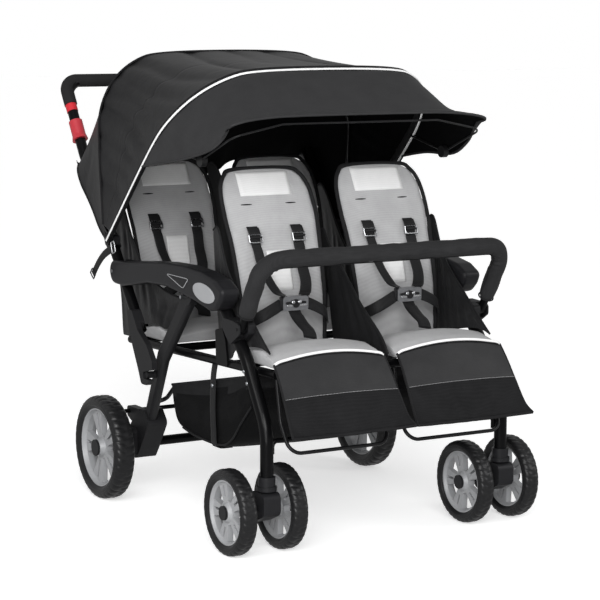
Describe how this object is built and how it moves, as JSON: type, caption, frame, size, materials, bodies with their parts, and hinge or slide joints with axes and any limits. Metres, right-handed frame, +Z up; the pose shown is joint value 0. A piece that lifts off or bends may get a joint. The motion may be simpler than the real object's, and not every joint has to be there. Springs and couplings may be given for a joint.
{
  "type": "multi seat daycare stroller",
  "caption": "Folding push stroller with seats in tandem pairs, a bowed hood with visor, guard bar, basket, twin front casters and large rear wheels.",
  "frame": {"origin": "on the floor under the middle of the whole outline", "axes": "+X across to the right-hand wheels, +Y towards the push handle, +Z up; the seats face -Y"},
  "size_m": [0.762, 1.0995, 1.0262],
  "materials": {
    "frame_paint": "gloss black powder coat",
    "moulding": "charcoal satin moulded nylon",
    "rim_plastic": "light grey moulded plastic, satin",
    "tyre_foam": "solid black foam rubber",
    "steel": "zinc plated",
    "grip_foam": "matte black foam",
    "red_plastic": "red satin plastic",
    "hood_cloth": "black woven nylon",
    "seat_cloth": "light grey quilted cloth",
    "webbing": "black woven webbing",
    "buckle_silver": "silver grey plastic",
    "bow_wire": "black coated wire"
  },
  "bodies": {
    "front_frame": {"front_legs": "frame_paint", "caster_sockets": "moulding", "armrest_left": "moulding", "armrest_right": "moulding", "pivot_pins": "steel", "seat_deck": "frame_paint", "seat_pad_front_left": "seat_cloth", "seat_pad_front_right": "seat_cloth", "seat_pad_rear_left": "seat_cloth", "seat_pad_rear_right": "seat_cloth", "side_panels": "hood_cloth", "leg_rests": "hood_cloth", "footrest_wires": "bow_wire", "bumper_clamps": "moulding", "basket": "hood_cloth", "harness_webbing": "webbing", "harness_buckles": "moulding"},
    "rear_frame": {"rear_leg_left": "moulding", "rear_leg_right": "moulding", "rear_feet": "moulding", "rear_axle": "frame_paint", "basket_wire": "bow_wire"},
    "handle_frame": {"push_handle": "frame_paint", "handle_grip": "grip_foam", "fold_catches": "moulding", "canopy_rear_bow": "bow_wire", "canopy_brackets": "moulding"},
    "hub_discs": {"canopy_hubs": "moulding", "canopy_cover": "hood_cloth"},
    "front_bow": {"canopy_front_bow": "bow_wire", "canopy_visor": "hood_cloth"},
    "visor_wire": {"visor_hoop": "bow_wire"},
    "guard_bar": {"bumper_bar": "frame_paint", "bumper_sleeve": "hood_cloth"},
    "brake_bar": {"parking_brake": "frame_paint"},
    "back_front_left": {"seat_back_front_left": "seat_cloth"},
    "button_front_left": {"buckle_button_front_left": "buckle_silver"},
    "back_front_right": {"seat_back_front_right": "seat_cloth"},
    "button_front_right": {"buckle_button_front_right": "buckle_silver"},
    "back_rear_left": {"seat_back_rear_left": "seat_cloth"},
    "button_rear_left": {"buckle_button_rear_left": "buckle_silver"},
    "back_rear_right": {"seat_back_rear_right": "seat_cloth"},
    "button_rear_right": {"buckle_button_rear_right": "buckle_silver"},
    "slider_left": {"release_slider_left": "red_plastic"},
    "caster_left": {"caster_fork_left": "moulding"},
    "front_wheel_left_outer": {"front_rim_left_outer": "rim_plastic", "front_tyre_left_outer": "tyre_foam"},
    "front_wheel_left_inner": {"front_rim_left_inner": "rim_plastic", "front_tyre_left_inner": "tyre_foam"},
    "rear_wheel_left": {"rear_rim_left": "rim_plastic", "rear_tyre_left": "tyre_foam"},
    "slider_right": {"release_slider_right": "red_plastic"},
    "caster_right": {"caster_fork_right": "moulding"},
    "front_wheel_right_outer": {"front_rim_right_outer": "rim_plastic", "front_tyre_right_outer": "tyre_foam"},
    "front_wheel_right_inner": {"front_rim_right_inner": "rim_plastic", "front_tyre_right_inner": "tyre_foam"},
    "rear_wheel_right": {"rear_rim_right": "rim_plastic", "rear_tyre_right": "tyre_foam"}
  },
  "joints": [
    {"name": "frame_fold", "type": "hinge", "parent": "front_frame", "child": "rear_frame", "pos_m": [0, -0.1205, 0.508], "axis": [-1, 0, 0], "range_deg": [0, 45], "deforming": ["basket"]},
    {"name": "handle_fold", "type": "hinge", "parent": "front_frame", "child": "handle_frame", "pos_m": [0, 0.2245, 0.528], "axis": [1, 0, 0], "range_deg": [0, 54]},
    {"name": "canopy_fold", "type": "hinge", "parent": "handle_frame", "child": "hub_discs", "pos_m": [0, 0.2445, 0.594], "axis": [1, 0, 0], "range_deg": [-38, 0], "deforming": ["canopy_cover"]},
    {"name": "canopy_close", "type": "hinge", "parent": "hub_discs", "child": "front_bow", "pos_m": [0, 0.2445, 0.594], "axis": [1, 0, 0], "range_deg": [-38.25, 0]},
    {"name": "visor_tilt", "type": "hinge", "parent": "front_bow", "child": "visor_wire", "pos_m": [0, -0.1825, 0.806], "axis": [-1, 0, 0], "range_deg": [0, 25], "deforming": ["canopy_visor"]},
    {"name": "guard_bar_swing", "type": "hinge", "parent": "front_frame", "child": "guard_bar", "pos_m": [0, -0.3465, 0.465], "axis": [1, 0, 0], "range_deg": [0, 50]},
    {"name": "brake_press", "type": "hinge", "parent": "rear_frame", "child": "brake_bar", "pos_m": [0, 0.2745, 0.187], "axis": [-1, 0, 0], "range_deg": [0, 22]},
    {"name": "recline_front_left", "type": "hinge", "parent": "front_frame", "child": "back_front_left", "pos_m": [-0.145, -0.2485, 0.3741], "axis": [-1, 0, 0], "range_deg": [0, 20], "deforming": ["harness_webbing"]},
    {"name": "buckle_press_front_left", "type": "slide", "parent": "front_frame", "child": "button_front_left", "axis": [0, 1, 0], "range_m": [0, 0.003], "stiffness_N_per_m": 400, "springref_m": -0.001},
    {"name": "recline_front_right", "type": "hinge", "parent": "front_frame", "child": "back_front_right", "pos_m": [0.145, -0.2485, 0.3741], "axis": [-1, 0, 0], "range_deg": [0, 20]},
    {"name": "buckle_press_front_right", "type": "slide", "parent": "front_frame", "child": "button_front_right", "axis": [0, 1, 0], "range_m": [0, 0.003], "stiffness_N_per_m": 400, "springref_m": -0.001},
    {"name": "recline_rear_left", "type": "hinge", "parent": "front_frame", "child": "back_rear_left", "pos_m": [-0.145, 0.2295, 0.3621], "axis": [-1, 0, 0], "range_deg": [0, 20]},
    {"name": "buckle_press_rear_left", "type": "slide", "parent": "front_frame", "child": "button_rear_left", "axis": [0, 1, 0], "range_m": [0, 0.003], "stiffness_N_per_m": 400, "springref_m": -0.001},
    {"name": "recline_rear_right", "type": "hinge", "parent": "front_frame", "child": "back_rear_right", "pos_m": [0.145, 0.2295, 0.3621], "axis": [-1, 0, 0], "range_deg": [0, 20]},
    {"name": "buckle_press_rear_right", "type": "slide", "parent": "front_frame", "child": "button_rear_right", "axis": [0, 1, 0], "range_m": [0, 0.003], "stiffness_N_per_m": 400, "springref_m": -0.001},
    {"name": "release_left", "type": "slide", "parent": "handle_frame", "child": "slider_left", "axis": [0, 0.5375, 0.8433], "range_m": [0, 0.014]},
    {"name": "caster_swivel_left", "type": "hinge", "parent": "front_frame", "child": "caster_left", "pos_m": [-0.295, -0.4375, 0.18], "axis": [0, 0, 1], "continuous": true},
    {"name": "spin_left_outer", "type": "hinge", "parent": "caster_left", "child": "front_wheel_left_outer", "pos_m": [-0.355, -0.3905, 0.0915], "axis": [1, 0, 0], "continuous": true},
    {"name": "spin_left_inner", "type": "hinge", "parent": "caster_left", "child": "front_wheel_left_inner", "pos_m": [-0.235, -0.3905, 0.0915], "axis": [1, 0, 0], "continuous": true},
    {"name": "spin_rear_left", "type": "hinge", "parent": "rear_frame", "child": "rear_wheel_left", "pos_m": [-0.3555, 0.2195, 0.12], "axis": [1, 0, 0], "continuous": true},
    {"name": "release_right", "type": "slide", "parent": "handle_frame", "child": "slider_right", "axis": [0, 0.5375, 0.8433], "range_m": [0, 0.014]},
    {"name": "caster_swivel_right", "type": "hinge", "parent": "front_frame", "child": "caster_right", "pos_m": [0.295, -0.4375, 0.18], "axis": [0, 0, 1], "continuous": true},
    {"name": "spin_right_outer", "type": "hinge", "parent": "caster_right", "child": "front_wheel_right_outer", "pos_m": [0.355, -0.3905, 0.0915], "axis": [1, 0, 0], "continuous": true},
    {"name": "spin_right_inner", "type": "hinge", "parent": "caster_right", "child": "front_wheel_right_inner", "pos_m": [0.235, -0.3905, 0.0915], "axis": [1, 0, 0], "continuous": true},
    {"name": "spin_rear_right", "type": "hinge", "parent": "rear_frame", "child": "rear_wheel_right", "pos_m": [0.3555, 0.2195, 0.12], "axis": [1, 0, 0], "continuous": true}
  ],
  "couplings": [
    {"joint": "handle_fold", "follows": "frame_fold", "ratio": 1.2},
    {"joint": "canopy_close", "follows": "frame_fold", "ratio": -0.85}
  ]
}
